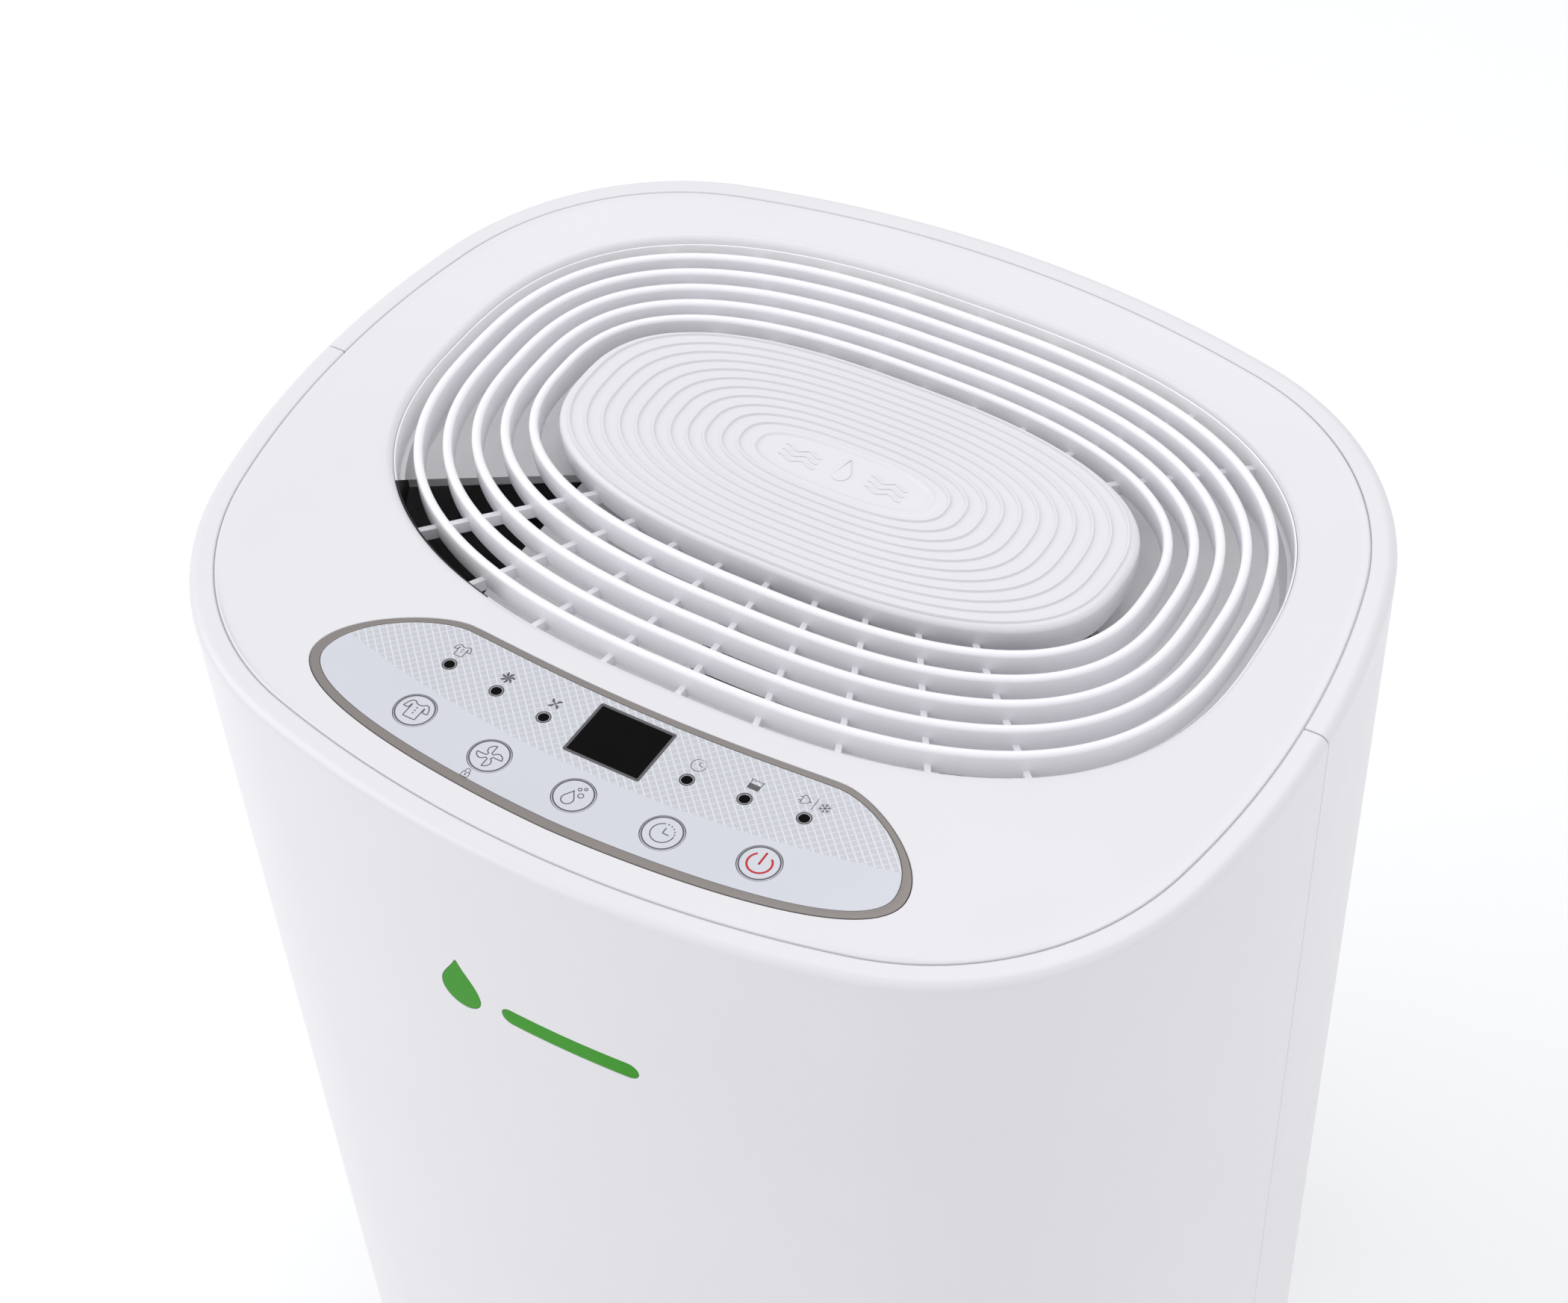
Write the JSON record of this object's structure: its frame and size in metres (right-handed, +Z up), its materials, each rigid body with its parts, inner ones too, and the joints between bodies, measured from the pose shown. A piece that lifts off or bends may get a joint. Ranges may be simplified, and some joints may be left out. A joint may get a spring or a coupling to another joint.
{
  "type": "dehumidifier",
  "caption": "Free-standing compressor dehumidifier: rounded white case, oval top outlet grille, control panel with round keys, rear tank and filter door.",
  "frame": {"origin": "on the floor, under the middle of the casing's plan", "axes": "+Z up; the front with the control panel faces -Y, the water tank and the filter door face +Y, X runs across the width"},
  "size_m": [0.322, 0.2724, 0.4901],
  "materials": {
    "body_white": "satin moulded plastic",
    "bezel_grey": "glossy grey-brown lacquer",
    "panel_lens": "glossy printed lens",
    "dark_glass": "glossy black",
    "grey_plastic": "matt moulded plastic",
    "black_plastic": "matt",
    "foot_rubber": "matt",
    "zinc_steel": "zinc plated",
    "black_steel": "satin black paint",
    "coil_aluminium": "plain",
    "pipe_copper": "bare copper",
    "circuit_board": "solder mask",
    "tank_plastic": "smoked translucent plastic",
    "filter_gauze": "fine nylon gauze",
    "badge_green": "green inlay"
  },
  "bodies": {
    "cabinet": {"front_housing": "body_white", "rear_housing": "body_white", "top_cover": "body_white", "outlet_grille": "body_white", "centre_disc": "body_white", "grip_cup": "body_white", "humidity_sensor": "body_white", "control_bezel": "bezel_grey", "control_lens": "panel_lens", "light_guide_left": "dark_glass", "light_guide_right": "dark_glass", "display_window": "dark_glass", "outlet_duct": "grey_plastic", "base_tray": "grey_plastic", "drip_tray": "grey_plastic", "tank_bay_liner": "grey_plastic", "drain_port": "grey_plastic", "display_module": "black_plastic", "blower_housing": "black_plastic", "tank_switch": "black_plastic", "inlet_bush": "black_plastic", "main_board_box": "black_plastic", "foot_1": "foot_rubber", "foot_2": "foot_rubber", "foot_3": "foot_rubber", "foot_4": "foot_rubber", "grommet_1": "foot_rubber", "grommet_2": "foot_rubber", "grommet_3": "foot_rubber", "rear_screw_1": "zinc_steel", "rear_screw_2": "zinc_steel", "fan_motor": "zinc_steel", "motor_bracket": "black_steel", "compressor": "black_steel", "evaporator": "coil_aluminium", "condenser": "coil_aluminium", "run_capacitor": "coil_aluminium", "suction_pipe": "pipe_copper", "discharge_pipe": "pipe_copper", "capillary_tube": "pipe_copper", "control_board": "circuit_board", "badge_drop": "badge_green", "badge_bar": "badge_green"},
    "tank": {"water_tank": "tank_plastic", "tank_lid": "grey_plastic", "float_bracket": "grey_plastic"},
    "float": {"tank_float": "body_white"},
    "filter_door": {"intake_grille": "body_white", "filter_frame": "grey_plastic", "filter_mesh": "filter_gauze"},
    "fan": {"fan_wheel": "black_plastic", "fan_shaft": "zinc_steel", "fan_nut": "zinc_steel"},
    "drain_cap": {"drain_cap": "foot_rubber"},
    "laundry_key": {"laundry_key": "panel_lens"},
    "fan_key": {"fan_key": "panel_lens"},
    "humidity_key": {"humidity_key": "panel_lens"},
    "timer_key": {"timer_key": "panel_lens"},
    "power_key": {"power_key": "panel_lens"}
  },
  "joints": [
    {"name": "tank_slide", "type": "slide", "parent": "cabinet", "child": "tank", "axis": [0, 1, 0], "range_m": [0, 0.17]},
    {"name": "float_swing", "type": "hinge", "parent": "tank", "child": "float", "pos_m": [0.06, 0.052, 0.178], "axis": [1, 0, 0], "range_deg": [0, 10]},
    {"name": "filter_door_tilt", "type": "hinge", "parent": "cabinet", "child": "filter_door", "pos_m": [0, 0.1364, 0.226], "axis": [-1, 0, 0], "range_deg": [0, 70]},
    {"name": "fan_spin", "type": "hinge", "parent": "cabinet", "child": "fan", "pos_m": [0.012, 0, 0.33], "axis": [0, 1, 0], "continuous": true},
    {"name": "drain_cap_pull", "type": "slide", "parent": "cabinet", "child": "drain_cap", "axis": [0, 1, 0], "range_m": [0, 0.02]},
    {"name": "laundry_key_press", "type": "slide", "parent": "cabinet", "child": "laundry_key", "axis": [0, -0.0499, -0.9988], "range_m": [0, 0.0005], "stiffness_N_per_m": 800, "springref_m": -0.0008},
    {"name": "fan_key_press", "type": "slide", "parent": "cabinet", "child": "fan_key", "axis": [0, -0.0499, -0.9988], "range_m": [0, 0.0005], "stiffness_N_per_m": 800, "springref_m": -0.0008},
    {"name": "humidity_key_press", "type": "slide", "parent": "cabinet", "child": "humidity_key", "axis": [0, -0.0499, -0.9988], "range_m": [0, 0.0005], "stiffness_N_per_m": 800, "springref_m": -0.0008},
    {"name": "timer_key_press", "type": "slide", "parent": "cabinet", "child": "timer_key", "axis": [0, -0.0499, -0.9988], "range_m": [0, 0.0005], "stiffness_N_per_m": 800, "springref_m": -0.0008},
    {"name": "power_key_press", "type": "slide", "parent": "cabinet", "child": "power_key", "axis": [0, -0.0499, -0.9988], "range_m": [0, 0.0005], "stiffness_N_per_m": 800, "springref_m": -0.0008}
  ]
}
